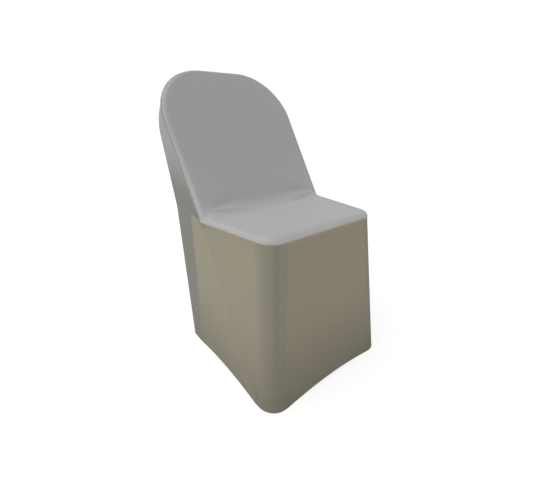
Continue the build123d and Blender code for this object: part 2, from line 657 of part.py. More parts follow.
def cover_hull(depth, low_z):
    top = COVER_SEAT_Z - depth
    wrap = FRAME_R + CLOTH_GAP + CLOTH + BACK_EASE - depth
    with BuildPart() as hull:
        loft([cover_section(low_z, depth), cover_section(top, depth)], ruled=True)
        nose = hull.faces().sort_by(Axis.Z)[-1].edges().filter_by(lambda e: e.center().Y < -150)
        fillet(nose, EDGE_R - depth)
        front_y = COVER_SEAT["front"][1] + depth
        lean = atan2(COVER_SEAT["front"][1] - COVER_FLOOR["front"][1], COVER_SEAT_Z)
        roll = ROLL_R - depth
        run = roll / tan(radians(45) + lean / 2)
        low_y, low_z = front_y - run * sin(lean), top - run * cos(lean)
        with BuildSketch(Plane.YZ):
            with BuildLine():
                RadiusArc((low_y, low_z), (front_y + run, top), roll)
                Line((front_y + run, top), (front_y + run, top + 9))
                Line((front_y + run, top + 9), (low_y - 9, top + 9))
                Line((low_y - 9, top + 9), (low_y - 9, low_z))
                Line((low_y - 9, low_z), (low_y, low_z))
            make_face()
        extrude(amount=300, both=True, mode=Mode.SUBTRACT)
    with BuildPart() as back:
        with BuildSketch(frame_plane(wrap)):
            with BuildLine():
                arch_line(BACK_LOW_S, wrap)
                Line((post_x(BACK_LOW_S) + wrap, BACK_LOW_S), (-post_x(BACK_LOW_S) - wrap, BACK_LOW_S))
            make_face()
        extrude(amount=-wrap)
        with BuildSketch(frame_plane()):
            with BuildLine():
                arch_line(BACK_LOW_S, wrap)
                Line((post_x(BACK_LOW_S) + wrap, BACK_LOW_S), (-post_x(BACK_LOW_S) - wrap, BACK_LOW_S))
            make_face()
        extrude(amount=-BACK_REACH, taper=REAR_TAPER)
        front = back.faces().sort_by(AHEAD)[-1]
        rim = front.edges().filter_by(lambda e: e.center().Z > 420)
        fillet(rim, wrap - 0.6)
        low = COVER_FLOOR["rear"][1] - depth
        with BuildSketch(Plane.YZ.offset(-400)):
            with BuildLine():
                Polyline(
                    (low - REAR_SLOPE * 20, -20),
                    (low + REAR_SLOPE * 1100, 1100),
                    (900, 1100),
                    (900, -20),
                    close=True,
                )
            make_face()
        extrude(amount=800, mode=Mode.SUBTRACT)
        rear = back.faces().filter_by(GeomType.PLANE).sort_by(lambda f: f.normal_at().Y)[-1]
        fillet(rear.edges().filter_by(lambda e: e.center().Z > 300), REAR_EDGE_R - depth)
        with BuildSketch(Plane.XY.offset(top - 30)):
            Rectangle(1200, 2400)
        extrude(amount=-600, mode=Mode.SUBTRACT)
    run = (JUNCTION_R + depth) / tan(radians(45 + LEAN / 2))
    corner_s = (top - wrap * SINE) / COSINE
    corner = frame_point(0, corner_s, wrap)
    up = frame_point(0, corner_s + run, wrap)
    inside = Vector(0, corner.Y + 30, corner.Z - 10)
    with BuildPart() as whole:
        add(hull.part)
        add(back.part)
        with BuildSketch(Plane.YZ):
            with BuildLine():
                Line((inside.Y, inside.Z), (corner.Y - run, inside.Z))
                Line((corner.Y - run, inside.Z), (corner.Y - run, top))
                TangentArc((corner.Y - run, top), (up.Y, up.Z), tangent=(1, 0))
                Line((up.Y, up.Z), (inside.Y + 20, up.Z))
                Line((inside.Y + 20, up.Z), (inside.Y, inside.Z))
            make_face()
        extrude(amount=JUNCTION_HALF - depth, both=True)
    return whole.part


# Regions that part the cover into its panels, drawn in the side view
def side_region(points):
    with BuildPart() as region:
        with BuildSketch(Plane.YZ):
            with BuildLine():
                Polyline(*points, close=True)
            make_face()
        extrude(amount=400, both=True)
    return region.part


def plane_place(d, z):
    s = (z - d * SINE) / COSINE
    return frame_point(0, s, d).Y, z


def pocket_block(side, grow, place):
    x, y, width, length = place
    with BuildPart() as block:
        with BuildSketch(Plane.XY.offset(CLOTH if grow < 0 else -1)):
            with Locations((side * x, y)):
                RectangleRounded(width + 2 * grow, length + 2 * grow, 14 + grow)
        extrude(amount=POCKET_H + 1 + grow if grow >= 0 else POCKET_H + 5 - CLOTH)
    return block.part


RIDGE = ((103.0, -20.0), (107.0, 437.0))
PANEL_GAP = 0.25
POCKETS = {"front": (199.0, -248.0, 66.0, 72.0), "rear": (187.0, 134.0, 58.0, 84.0)}

outer = cover_hull(0.0, 0.0)
inner = cover_hull(CLOTH, -6.0)

# Cover shell: hollow, open below, with the hem arched between the feet
with BuildPart() as shell:
    add(outer)
    add(inner, mode=Mode.SUBTRACT)
    with BuildSketch(Plane.XZ):
        with BuildLine():
            ThreePointArc((-172, 0), (0, HEM_RISE), (172, 0))
            Polyline((172, 0), (172, -20), (-172, -20), (-172, 0))
        make_face()
    extrude(amount=400, both=True, mode=Mode.SUBTRACT)
    with BuildSketch(Plane.YZ):
        with BuildLine():
            ThreePointArc((-214, 0), (-61, HEM_RISE), (92, 0))
            Polyline((92, 0), (92, -20), (-214, -20), (-214, 0))
        make_face()
    extrude(amount=400, both=True, mode=Mode.SUBTRACT)
    for side in SIDES.values():
        for place in POCKETS.values():
            add(pocket_block(side, 0.4, place), mode=Mode.SUBTRACT)

front_low = plane_place(0, COVER_SEAM_Z)
front_high = plane_place(0, 900)
front_region = side_region([(-400, COVER_SEAM_Z), front_low, front_high, (-400, 900)])
rear_region = side_region(
    [
        RIDGE[0],
        RIDGE[1],
        (plane_place(-2 * PANEL_GAP, RIDGE[1][1])[0], RIDGE[1][1]),
        plane_place(-2 * PANEL_GAP, 900),
        (700, 900),
        (700, -20),
    ]
)
skirt_region = side_region(
    [
        (-400, -20),
        (-400, COVER_SEAM_Z - PANEL_GAP),
        (front_low[0] + 0.6, COVER_SEAM_Z - PANEL_GAP),
        (plane_place(-2 * PANEL_GAP, RIDGE[1][1])[0], RIDGE[1][1] - 2 * PANEL_GAP),
        (RIDGE[1][0] - 2 * PANEL_GAP, RIDGE[1][1] - 2 * PANEL_GAP),
        (RIDGE[0][0] - 2 * PANEL_GAP, -20),
    ]
)
panels = {
    "cover_inner_panel": front_region,
    "cover_rear_panel": rear_region,
    "cover_skirt": skirt_region,
}
for name, region in panels.items():
    with BuildPart() as panel:
        add(shell.part)
        add(region, mode=Mode.INTERSECT)
    keep(panel.part, name)

# Foot pockets: pouches at the hem that hold each foot
for end, place in POCKETS.items():
    for name, side in SIDES.items():
        with BuildPart() as pouch_space:
            add(pocket_block(side, -CLOTH, place))
            add(inner, mode=Mode.INTERSECT)
        with BuildPart() as pocket:
            add(pocket_block(side, 0.0, place))
            add(outer, mode=Mode.INTERSECT)
            add(pouch_space.part, mode=Mode.SUBTRACT)
        keep(pocket.part, f"{end}_pocket_{name}")

# Seam welts: a sewn cord round the seat and one round the rim of the back
SEAT_WELT_SHARE = 0.86
BACK_WELT_LOW_S = 545.0
corners = cover_corners(COVER_SEAM_Z, -WELT_R - CLOTH_GAP)
front, post = Vector(*corners["front"]), Vector(*corners["post"])
r = CORNER_R_SEAT["front"] + WELT_R
back = (post - front).normalized()
half = radians(back.get_angle(Vector(-1, 0))) / 2
run = r / tan(half)
bisector = (back + Vector(-1, 0)).normalized()
side_end = front + back * run
middle = front + bisector * (r / sin(half) - r)
front_end = front + Vector(-run, 0)
last = front + (post - front) * SEAT_WELT_SHARE
with BuildLine(Plane.XY.offset(COVER_SEAM_Z)) as welt_line:
    Line((-last.X, last.Y), (-side_end.X, side_end.Y))
    ThreePointArc((-side_end.X, side_end.Y), (-middle.X, middle.Y), (-front_end.X, front_end.Y))
    Line((-front_end.X, front_end.Y), (front_end.X, front_end.Y))
    ThreePointArc((front_end.X, front_end.Y), (middle.X, middle.Y), (side_end.X, side_end.Y))
    Line((side_end.X, side_end.Y), (last.X, last.Y))
keep(tube_along(welt_line.line, WELT_R - 0.1), "seat_welt")

with BuildLine(frame_plane(-PANEL_GAP)) as welt_line:
    arch_line(BACK_WELT_LOW_S, FRAME_R + CLOTH_GAP + CLOTH + BACK_EASE + WELT_R, whole=False)
with BuildPart() as back_welt:
    add(tube_along(welt_line.line, WELT_R - 0.2))
    mirror(about=Plane.YZ)
keep(back_welt.part, "back_welt")
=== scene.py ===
"""Folding chair in a fitted stretch slip cover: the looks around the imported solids."""

import json
import logging
import math
from dataclasses import dataclass
from enum import Enum
from typing import Sequence

import bmesh
import bpy
from mathutils import Matrix, Vector
from mathutils.kdtree import KDTree


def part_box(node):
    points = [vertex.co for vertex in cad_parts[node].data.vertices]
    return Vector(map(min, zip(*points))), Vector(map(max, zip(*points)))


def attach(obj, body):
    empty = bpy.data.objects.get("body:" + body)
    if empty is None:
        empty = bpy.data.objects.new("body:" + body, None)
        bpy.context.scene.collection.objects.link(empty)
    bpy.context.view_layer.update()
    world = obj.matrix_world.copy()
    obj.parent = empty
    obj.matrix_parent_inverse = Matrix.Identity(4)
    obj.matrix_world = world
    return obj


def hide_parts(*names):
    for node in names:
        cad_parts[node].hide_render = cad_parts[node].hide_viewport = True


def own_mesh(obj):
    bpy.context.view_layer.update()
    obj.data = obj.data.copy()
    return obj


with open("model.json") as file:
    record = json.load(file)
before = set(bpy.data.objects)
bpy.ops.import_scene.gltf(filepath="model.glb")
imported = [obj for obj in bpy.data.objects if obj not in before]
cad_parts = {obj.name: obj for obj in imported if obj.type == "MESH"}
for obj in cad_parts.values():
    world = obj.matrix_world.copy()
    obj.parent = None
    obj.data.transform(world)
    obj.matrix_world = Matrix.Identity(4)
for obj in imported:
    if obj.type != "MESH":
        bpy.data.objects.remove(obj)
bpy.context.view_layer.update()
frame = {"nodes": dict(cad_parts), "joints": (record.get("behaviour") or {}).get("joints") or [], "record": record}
log = logging.getLogger("chair")

PULL_AND_SHADE = "pull_and_shade"
KNIT_MAP = "knit"
ASIDE = Vector((1, 0, 0)).freeze()
REARWARD = Vector((0, 1, 0)).freeze()
UPWARD = Vector((0, 0, 1)).freeze()
RGB = tuple[float, float, float]
WHITE = (1, 1, 1, 1)


def portion(value: float, span: float) -> float:
    """How far a value has gone along a span, kept from 0 to 1."""
    return min(max(value / span, 0.0), 1.0)


class Socket:
    """A shader value that can be used in a Python expression."""

    def __init__(self, graph: "Graph", output: bpy.types.NodeSocket) -> None:
        """Wraps an output socket of a graph."""
        self.graph = graph
        self.output = output

    def _math(self, operation: str, *values: "Socket | float") -> "Socket":
        """Adds a Math node for an operation on this graph's values."""
        return self.graph.node("ShaderNodeMath", {"operation": operation}, dict(enumerate(values)))

    def __add__(self, other: "Socket | float") -> "Socket":
        """Sum of two values."""
        return self._math("ADD", self, other)

    __radd__ = __add__

    def __mul__(self, other: "Socket | float") -> "Socket":
        """Product of two values."""
        return self._math("MULTIPLY", self, other)

    __rmul__ = __mul__

    def __sub__(self, other: "Socket | float") -> "Socket":
        """Difference of two values."""
        return self._math("SUBTRACT", self, other)

    def __rsub__(self, other: float) -> "Socket":
        """A number less this value."""
        return self._math("SUBTRACT", other, self)

    def sine(self) -> "Socket":
        """Sine of this value."""
        return self._math("SINE", self)

    def wave(self) -> "Socket":
        """Sine of this value, brought between 0 and 1."""
        return self.sine() * 0.5 + 0.5

    def size(self) -> "Socket":
        """Absolute value."""
        return self._math("ABSOLUTE", self)

    def clamp(self, low: float, high: float) -> "Socket":
        """Maps low to 0 and high to 1 smoothly, and keeps the result within them."""
        return self.graph.node(
            "ShaderNodeMapRange",
            {"interpolation_type": "SMOOTHSTEP"},
            {"Value": self, "From Min": low, "From Max": high},
        )


class Graph:
    """The node tree of a material or a world, with one way of adding nodes."""

    def __init__(self, owner: bpy.types.Material | bpy.types.World) -> None:
        """Empties the owner's node tree."""
        self.owner = owner
        owner.use_nodes = True
        self.tree = owner.node_tree
        self.tree.nodes.clear()

    @classmethod
    def of_material(cls, name: str) -> "Graph":
        """The graph of a new material."""
        return cls(bpy.data.materials.new(name))

    def node(
        self,
        kind: str,
        settings: dict[str, object] | None = None,
        inputs: dict[str | int, object] | None = None,
        output: str | int = 0,
    ) -> Socket | None:
        """Adds a node.

        Args:
            kind: The node's type.
            settings: Properties, which are set first. A ramp's stops go under "stops".
            inputs: Values or sockets by the input's name or number.
            output: The output that is returned.

        Returns:
            The wrapped output socket, or None for a node that has none.
        """
        made = self.tree.nodes.new(kind)
        for key, value in (settings or {}).items():
            if key == "stops":
                ramp = made.color_ramp
                for element, (place, colour) in zip(ramp.elements, value):
                    element.position = place
                    element.color = (*colour, 1)
            else:
                setattr(made, key, value)
        for key, value in (inputs or {}).items():
            if isinstance(value, Socket):
                self.tree.links.new(value.output, made.inputs[key])
            else:
                made.inputs[key].default_value = value
        return Socket(self, made.outputs[output]) if made.outputs else None

    def place(self) -> Socket:
        """Object coordinates, in metres."""
        return self.node("ShaderNodeTexCoord", output="Object")

    def parts(self, vector: Socket) -> tuple[Socket, Socket, Socket]:
        """The three numbers of a vector."""
        outputs = self.node("ShaderNodeSeparateXYZ", None, {0: vector}).output.node.outputs
        return tuple(Socket(self, output) for output in outputs)

    def height(self) -> Socket:
        """Height above the floor, in metres."""
        return self.parts(self.place())[2]

    def noise(self, vector: Socket, scale: float, detail: float = 2.0, rough: float = 0.5) -> Socket:
        """Noise from 0 to 1 at that scale per metre."""
        return self.node(
            "ShaderNodeTexNoise",
            None,
            {"Vector": vector, "Scale": scale, "Detail": detail, "Roughness": rough},
        )

    def tint(self, share: Socket, low: RGB, high: RGB) -> Socket:
        """A colour between two, by a value from 0 to 1."""
        return self.node("ShaderNodeValToRGB", {"stops": ((0.0, low), (1.0, high))}, {"Fac": share})

    def blend(self, share: Socket, first: Socket, second: Socket | RGB) -> Socket:
        """A colour that goes from the first to the second by a value from 0 to 1."""
        end = second if isinstance(second, Socket) else (*second, 1)
        return self.node("ShaderNodeMix", {"data_type": "RGBA"}, {0: share, 6: first, 7: end}, output=2)

    def bump(self, height: Socket, depth: float, strength: float) -> Socket:
        """A normal from a height of 0 to 1 that stands for depth metres."""
        return self.node(
            "ShaderNodeBump", None, {"Height": height, "Distance": depth, "Strength": strength}
        )

    def background_rays(self) -> Socket:
        """1 for rays that show the background: from the camera, reflected or let through."""
        straight = self.node("ShaderNodeLightPath", output="Is Camera Ray")
        outputs = straight.output.node.outputs
        reflected, through = (
            Socket(self, outputs[name]) for name in ("Is Glossy Ray", "Is Transmission Ray")
        )
        return straight + reflected + through

    def surface(self, inputs: dict[str, object]) -> bpy.types.Material:
        """Ends the material in a Principled shader.

        Args:
            inputs: The shader's values or sockets by name.

        Returns:
            The finished material.
        """
        shader = self.node("ShaderNodeBsdfPrincipled", None, inputs)
        self.node("ShaderNodeOutputMaterial", None, {"Surface": shader})
        return self.owner


@dataclass(frozen=True)
class LeaningFrame:
    """The plane of the chair's tube frame, found from the pivots that lie in it."""

    seat_pivot: Vector
    crown: Vector

    @classmethod
    def from_joints(cls, joints: Sequence[dict]) -> "LeaningFrame":
        """Reads the seat's and the cover's pivots."""
        places = {joint["name"]: Vector(joint["pos_m"]) for joint in joints}
        return cls(places["seat_fold"], places["cover_swing"])

    @property
    def up(self) -> Vector:
        """Direction up the frame."""
        return (self.crown - self.seat_pivot).normalized()

    @property
    def front(self) -> Vector:
        """Direction out of the frame, to the sitter's front."""
        return ASIDE.cross(self.up)

    def ahead(self, distance: float) -> Vector:
        """A point that far in front of the frame's plane."""
        return self.crown + self.front * distance

    def depth(self, place: Vector) -> float:
        """How far a place lies in front of the frame's plane."""
        return (place - self.crown).dot(self.front)


PLANE = LeaningFrame.from_joints(frame["joints"])


@dataclass(frozen=True)
class SeamLines:
    """Where the cover's seams run: round the seat at one height, and round the back in the frame's plane.

    Lengths are in metres. Over the rise above the seat the cloth takes a painted light tone, and towards the hem a
    painted shade.
    """

    height: float
    plane: LeaningFrame = PLANE
    roll: float = 0.0013
    half_width: float = 0.0038
    core_share: float = 0.3
    blur: float = 0.0006
    end_behind: float = 0.012
    back_start: float = 0.02
    back_share: float = 0.25
    rise_low: float = 0.03
    rise_high: float = 0.2
    hem_low: float = -0.06
    hem_high: float = 0.3

    @classmethod
    def from_frame(cls, share: float = 0.55) -> "SeamLines":
        """Finds the height of the seat's seam.

        Args:
            share: Its place on the way from the solid welt's top to the seat pan's top.

        Returns:
            The seams of this chair.
        """
        low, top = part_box("seat_welt")[1].z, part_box("seat_pan")[1].z
        return cls(low + share * (top - low))

    def rise(self, graph: Graph) -> Socket:
        """A value that goes from 0 just above the seat to 1 half way up the back, for the painted light tone
        there.
        """
        return graph.height().clamp(self.height + self.rise_low, self.height + self.rise_high)

    def under(self, graph: Graph) -> Socket:
        """A value that is 1 below the seat's seam and 0 above, where the cool panel takes the painted warm side
        light.
        """
        return 1.0 - graph.height().clamp(self.height - self.blur, self.height + self.blur)

    def hem(self, graph: Graph) -> Socket:
        """A value that is 0 high on the skirt and grows towards the floor, for the painted shade there."""
        return 1.0 - graph.height().clamp(self.hem_low, self.hem_high)

    def nearness(self, graph: Graph) -> Socket:
        """A value that is 1 on the seat's seam, less on the back's, and falls to 0 beside them; it lays the
        painted highlight along the seams.

        Args:
            graph: The material's graph.

        Returns:
            The value as a socket.
        """
        _, y, z = graph.parts(graph.place())
        front = self.plane.front
        ahead = y * front.y + z * front.z - front.dot(self.plane.crown)
        core = self.core_share * self.half_width
        seat = 1.0 - (z - self.height).size().clamp(core, self.half_width)
        back = 1.0 - ahead.size().clamp(core, self.half_width)
        over = z.clamp(self.height, self.height + self.back_start)
        return seat * ahead.clamp(-self.end_behind, 0.0) + back * over * self.back_share


SEAMS = SeamLines.from_frame()


@dataclass(frozen=True)
class StretchKnit:
    """Tight stretch knit: fine wales and courses, bands under strain that also take painted shade, a painted
    highlight along the seams, a painted light tone up the back and painted shade towards the floor.
    """

    name: str
    thread: RGB
    strained: RGB
    seam: RGB
    upper: RGB
    lower: RGB
    lower_strained: RGB
    hem: RGB
    turn: float = 0.0
    gap_share: float = 0.9
    wale: float = 0.0011
    course: float = 0.0009
    course_bow: float = 1.6
    wale_share: float = 0.6
    mottle_scale: float = 7.0
    fleck_scale: float = 420.0
    yarn_tone: float = 0.4
    mottle_tone: float = 0.4
    fleck_tone: float = 0.2
    tone_low: float = 0.1
    tone_high: float = 0.9
    seam_cover: float = 0.8
    rough: float = 0.82
    mottle_polish: float = 0.1
    strain_polish: float = 0.06
    sheen: float = 0.06
    sheen_rough: float = 0.45
    gloss: float = 0.2
    depth: float = 0.0001
    relief: float = 0.5

    def material(self) -> bpy.types.Material:
        """Builds the knit's material.

        Returns:
            The material, which reads the piece's knit map and its strain, which also sets painted shade.
        """
        graph = Graph.of_material(self.name)
        across, up, _ = graph.parts(graph.node("ShaderNodeUVMap", {"uv_map": KNIT_MAP}))
        loops = (across * (math.pi / self.wale)).sine().size()
        rows = (up * (2 * math.pi / self.course) + loops * self.course_bow).wave()
        yarn = loops * self.wale_share + rows * (1 - self.wale_share)
        place = graph.place()
        mottle = graph.noise(place, self.mottle_scale, detail=3.0)
        fleck = graph.noise(place, self.fleck_scale, rough=0.6)
        tone = yarn * self.yarn_tone + mottle * self.mottle_tone + fleck * self.fleck_tone
        gap = tuple(self.gap_share * value for value in self.thread)
        cloth = graph.tint(tone.clamp(self.tone_low, self.tone_high), gap, self.thread)
        # The strain value darkens the knit on the corner bands and the rear panel's sides: partly knit under
        # strain, partly painted shade.
        pull_and_shade = graph.node("ShaderNodeAttribute", {"attribute_name": PULL_AND_SHADE}, None, "Fac")
        cloth = graph.blend(pull_and_shade, cloth, self.strained)
        # Below the seat's seam the cool panel takes the skirt's warmer tone, with its painted shade on the
        # corners: painted warm side light.
        lower = graph.tint(pull_and_shade, self.lower, self.lower_strained)
        cloth = graph.blend(SEAMS.under(graph) * self.turn, cloth, lower)
        # Darker towards the floor: painted shade.
        cloth = graph.blend(SEAMS.hem(graph), cloth, self.hem)
        # Up the back the cloth takes a painted light tone: a darker grey of shade on the back's face, a cooler
        # grey of top light on the rear panel.
        cloth = graph.blend(SEAMS.rise(graph), cloth, self.upper)
        # A paler line along the seams and the back's rim: painted highlight.
        cloth = graph.blend(SEAMS.nearness(graph) * self.seam_cover, cloth, self.seam)
        return graph.surface(
            {
                "Base Color": cloth,
                "Roughness": self.rough - mottle * self.mottle_polish - pull_and_shade * self.strain_polish,
                "Sheen Weight": self.sheen,
                "Sheen Roughness": self.sheen_rough,
                "Specular IOR Level": self.gloss,
                "Normal": graph.bump(yarn, self.depth, self.relief),
            }
        )


@dataclass(frozen=True)
class SeamCord:
    """Sewn seam roll with a stitch every few millimetres."""

    name: str
    thread: RGB
    gap: RGB
    stitch: float = 0.0032
    slant_y: float = 0.9
    slant_z: float = 0.8
    fuzz_scale: float = 900.0
    twist_share: float = 0.7
    tone_low: float = 0.15
    tone_high: float = 0.8
    rough: float = 0.85
    polish: float = 0.1
    depth: float = 0.0004
    relief: float = 0.7

    def material(self) -> bpy.types.Material:
        """Builds the seam's material.

        Returns:
            The material.
        """
        graph = Graph.of_material(self.name)
        place = graph.place()
        x, y, z = graph.parts(place)
        along = x.size() + y.size() * self.slant_y + z * self.slant_z
        twist = (along * (2 * math.pi / self.stitch)).wave()
        fuzz = graph.noise(place, self.fuzz_scale, rough=0.6)
        tone = twist * self.twist_share + fuzz * (1 - self.twist_share)
        return graph.surface(
            {
                "Base Color": graph.tint(tone.clamp(self.tone_low, self.tone_high), self.gap, self.thread),
                "Roughness": self.rough - twist * self.polish,
                "Normal": graph.bump(twist, self.depth, self.relief),
            }
        )


@dataclass(frozen=True)
class CoatedSteel:
    """Powder-coated steel tube: fine orange peel and rubbed spots."""

    name: str
    coat: RGB
    worn: RGB
    peel_scale: float = 700.0
    rub_scale: float = 22.0
    rub_low: float = 0.58
    rub_high: float = 0.75
    rub_metal: float = 0.2
    rough: float = 0.42
    peel_rough: float = 0.12
    depth: float = 0.0002
    relief: float = 0.35

    def material(self) -> bpy.types.Material:
        """Builds the coat's material.

        Returns:
            The material.
        """
        graph = Graph.of_material(self.name)
        place = graph.place()
        peel = graph.noise(place, self.peel_scale)
        spots = graph.noise(place, self.rub_scale, detail=5.0, rough=0.65)
        rubbed = spots.clamp(self.rub_low, self.rub_high)
        return graph.surface(
            {
                "Base Color": graph.tint(rubbed, self.coat, self.worn),
                "Roughness": self.rough + peel * self.peel_rough,
                "Metallic": rubbed * self.rub_metal,
                "Normal": graph.bump(peel, self.depth, self.relief),
            }
        )


@dataclass(frozen=True)
class GrainedPlastic:
    """Moulded plastic or rubber with a fine grain and patches of dust."""

    name: str
    body: RGB
    dust: RGB
    grain_scale: float = 1400.0
    rough: float = 0.5
    grain_rough: float = 0.15
    dust_scale: float = 30.0
    dust_low: float = 0.45
    dust_high: float = 0.8
    depth: float = 0.00015
    relief: float = 0.5

    def material(self) -> bpy.types.Material:
        """Builds the plastic's material.

        Returns:
            The material.
        """
        graph = Graph.of_material(self.name)
        place = graph.place()
        grain = graph.noise(place, self.grain_scale, detail=3.0, rough=0.6)
        spots = graph.noise(place, self.dust_scale, detail=4.0, rough=0.6)
        return graph.surface(
            {
                "Base Color": graph.tint(spots.clamp(self.dust_low, self.dust_high), self.body, self.dust),
                "Roughness": self.rough + grain * self.grain_rough,
                "Normal": graph.bump(grain, self.depth, self.relief),
            }
        )


@dataclass(frozen=True)
class PlatedSteel:
    """Plated steel: fine rolled lines and a mottled lustre."""

    name: str
    bright: RGB
    dull: RGB
    rough: float = 0.3
    line_scale: float = 9000.0
    slant_x: float = 0.2
    slant_z: float = 0.4
    line_rough: float = 0.04
    patch_scale: float = 60.0
    patch_low: float = 0.3
    patch_high: float = 0.75
    patch_rough: float = 0.2
    patch_share: float = 0.6
    least_metal: float = 0.9
    depth: float = 0.00008
    relief: float = 0.4

    def material(self) -> bpy.types.Material:
        """Builds the plate's material.

        Returns:
            The material.
        """
        graph = Graph.of_material(self.name)
        place = graph.place()
        x, y, z = graph.parts(place)
        lines = ((y + z * self.slant_z + x * self.slant_x) * self.line_scale).wave()
        patch = graph.noise(place, self.patch_scale, detail=4.0, rough=0.6)
        height = lines * (1 - self.patch_share) + patch * self.patch_share
        return graph.surface(
            {
                "Base Color": graph.tint(
                    patch.clamp(self.patch_low, self.patch_high), self.dull, self.bright
                ),
                "Roughness": self.rough + patch * self.patch_rough + lines * self.line_rough,
                "Metallic": self.least_metal + patch * (1 - self.least_metal),
                "Normal": graph.bump(height, self.depth, self.relief),
            }
        )


class Finish(Enum):
    """The chair's finishes, by the record's material slots."""

    # One grey knit lit two ways: the paler, cooler grey of seat and back and the darker, warmer grey of skirt and
    # rear panel are painted light, cool from above and warm on the sides.
    cover_cool = StretchKnit(
        "knit_grey_cool_lit",
        thread=(0.39, 0.39, 0.392),
        strained=(0.385, 0.385, 0.388),
        seam=(0.43, 0.42, 0.37),
        upper=(0.34, 0.34, 0.352),
        lower=(0.27, 0.246, 0.18),
        lower_strained=(0.182, 0.175, 0.154),
        hem=(0.24, 0.225, 0.18),
        turn=1.0,
    )
    cover_warm = StretchKnit(
        "knit_grey_warm_lit",
        thread=(0.282, 0.256, 0.187),
        strained=(0.182, 0.175, 0.154),
        seam=(0.43, 0.41, 0.34),
        upper=(0.3, 0.3, 0.304),
        lower=(0.27, 0.246, 0.18),
        lower_strained=(0.182, 0.175, 0.154),
        hem=(0.175, 0.16, 0.122),
    )
    pocket_cloth = StretchKnit(
        "knit_doubled",
        thread=(0.2, 0.186, 0.145),
        strained=(0.17, 0.16, 0.132),
        seam=(0.32, 0.3, 0.25),
        upper=(0.3, 0.3, 0.304),
        lower=(0.2, 0.186, 0.145),
        lower_strained=(0.17, 0.16, 0.132),
        hem=(0.17, 0.156, 0.12),
    )
    welt_cord = SeamCord("seam_roll", thread=(0.44, 0.42, 0.36), gap=(0.32, 0.3, 0.25))
    tube_paint = CoatedSteel("grey_powder_coat", coat=(0.16, 0.16, 0.17), worn=(0.36, 0.36, 0.36))
    seat_plastic = GrainedPlastic("pale_moulding", body=(0.42, 0.41, 0.38), dust=(0.5, 0.49, 0.46))
    foot_rubber = GrainedPlastic(
        "black_rubber", body=(0.02, 0.02, 0.02), dust=(0.08, 0.08, 0.075), grain_scale=800.0, rough=0.7
    )
    plug_plastic = GrainedPlastic(
        "black_plug", body=(0.025, 0.025, 0.025), dust=(0.07, 0.07, 0.07), grain_scale=1000.0, rough=0.45
    )
    plate_steel = PlatedSteel("zinc_plate", bright=(0.62, 0.61, 0.58), dull=(0.42, 0.41, 0.38), rough=0.34)
    pin_steel = PlatedSteel("bright_pin", bright=(0.72, 0.72, 0.72), dull=(0.5, 0.5, 0.5), rough=0.22)


class Dresser:
    """Gives each finish one material and hands it to nodes and pieces."""

    def __init__(self) -> None:
        """Starts with no material made."""
        self.made: dict[Finish, bpy.types.Material] = {}

    def material(self, finish: Finish) -> bpy.types.Material:
        """The one material of a finish."""
        if finish not in self.made:
            self.made[finish] = finish.value.material()
        return self.made[finish]

    def dress(self, piece: bpy.types.Object, finish: Finish) -> None:
        """Replaces a piece's materials by that finish."""
        piece.data.materials.clear()
        piece.data.materials.append(self.material(finish))

    def dress_chair(self, nodes: dict[str, bpy.types.Object], slots: dict[str, str]) -> None:
        """Dresses every shown solid of the chair.

        Args:
            nodes: The solids by name.
            slots: The record's material slot of each solid.
        """
        for name, node in nodes.items():
            if not node.hide_render:
                self.dress(node, Finish[slots[name]])
                log.info("solid %s wears %s", name, slots[name])


class Strain(Enum):
    """Where a panel's knit is under strain over what lies under it, which is also where painted shade darkens it.
    """

    NONE = 0
    CORNERS = 1
    SIDES = 2


class Part(Enum):
    """Where a strip of the cover lies, seen from the frame's plane."""

    AHEAD = 1
    BESIDE = 0
    BEHIND = -1


@dataclass(frozen=True)
class StrainMap:
    """How much the knit is under strain over the chair's corners and sides, from 0 to 1; the same value darkens
    the cloth there as painted shade.

    Where a strain starts, fades and turns is told by the parts of a normal, and how it spreads in metres.
    """

    corner_start: float = 0.22
    corner_fade: float = 0.16
    corner_aside: float = 0.52
    corner_ahead: float = 0.26
    corner_turn: float = 0.2
    side_start: float = 0.6
    side_level: float = 1.0
    rear_level: float = 0.5
    spread_start: float = 0.3
    spread_reach: float = 0.017
    spread_fade: float = 0.006

    def at(self, strain: Strain, normal: Vector) -> float:
        """How strained the knit is where it faces that way.

        Args:
            strain: Where the panel is strained.
            normal: The way the cloth faces.

        Returns:
            The strain, from 0 to 1.
        """
        aside, along = abs(normal.x), abs(normal.y)
        if strain is Strain.CORNERS:
            level = self.corner_aside + self.corner_ahead * portion(along - aside, self.corner_turn)
            return portion(min(aside, along) - self.corner_start, self.corner_fade) * level
        # The rear panel's sides take the full value and its face half of it: painted shade where the sides turn
        # from the light.
        if strain is Strain.SIDES:
            return self.side_level if aside > self.side_start else self.rear_level
        return 0.0

    def mark(self, net: bmesh.types.BMesh, strain: Strain) -> None:
        """Writes the strain on a net's vertices.

        Args:
            net: The panel's net, with its normals up to date.
            strain: Where the panel is strained.
        """
        pull_and_shade = net.verts.layers.float.new(PULL_AND_SHADE)
        for vert in net.verts:
            vert[pull_and_shade] = self.at(strain, vert.normal)
        if strain is Strain.CORNERS:
            self.spread(net, pull_and_shade)

    def spread(self, net: bmesh.types.BMesh, pull_and_shade: bmesh.types.BMLayerItem) -> None:
        """Spreads the strain of a panel's corners a little way over the flat cloth beside them.

        Args:
            net: The panel's net.
            pull_and_shade: The layer that holds the strain.
        """
        corners = [vert for vert in net.verts if vert[pull_and_shade] > self.spread_start]
        if not corners:
            return
        tree = KDTree(len(corners))
        for index, vert in enumerate(corners):
            tree.insert(vert.co, index)
        tree.balance()
        for vert in net.verts:
            _, index, away = tree.find(vert.co)
            share = portion(self.spread_reach - away, self.spread_fade)
            vert[pull_and_shade] = max(vert[pull_and_shade], corners[index][pull_and_shade] * share)


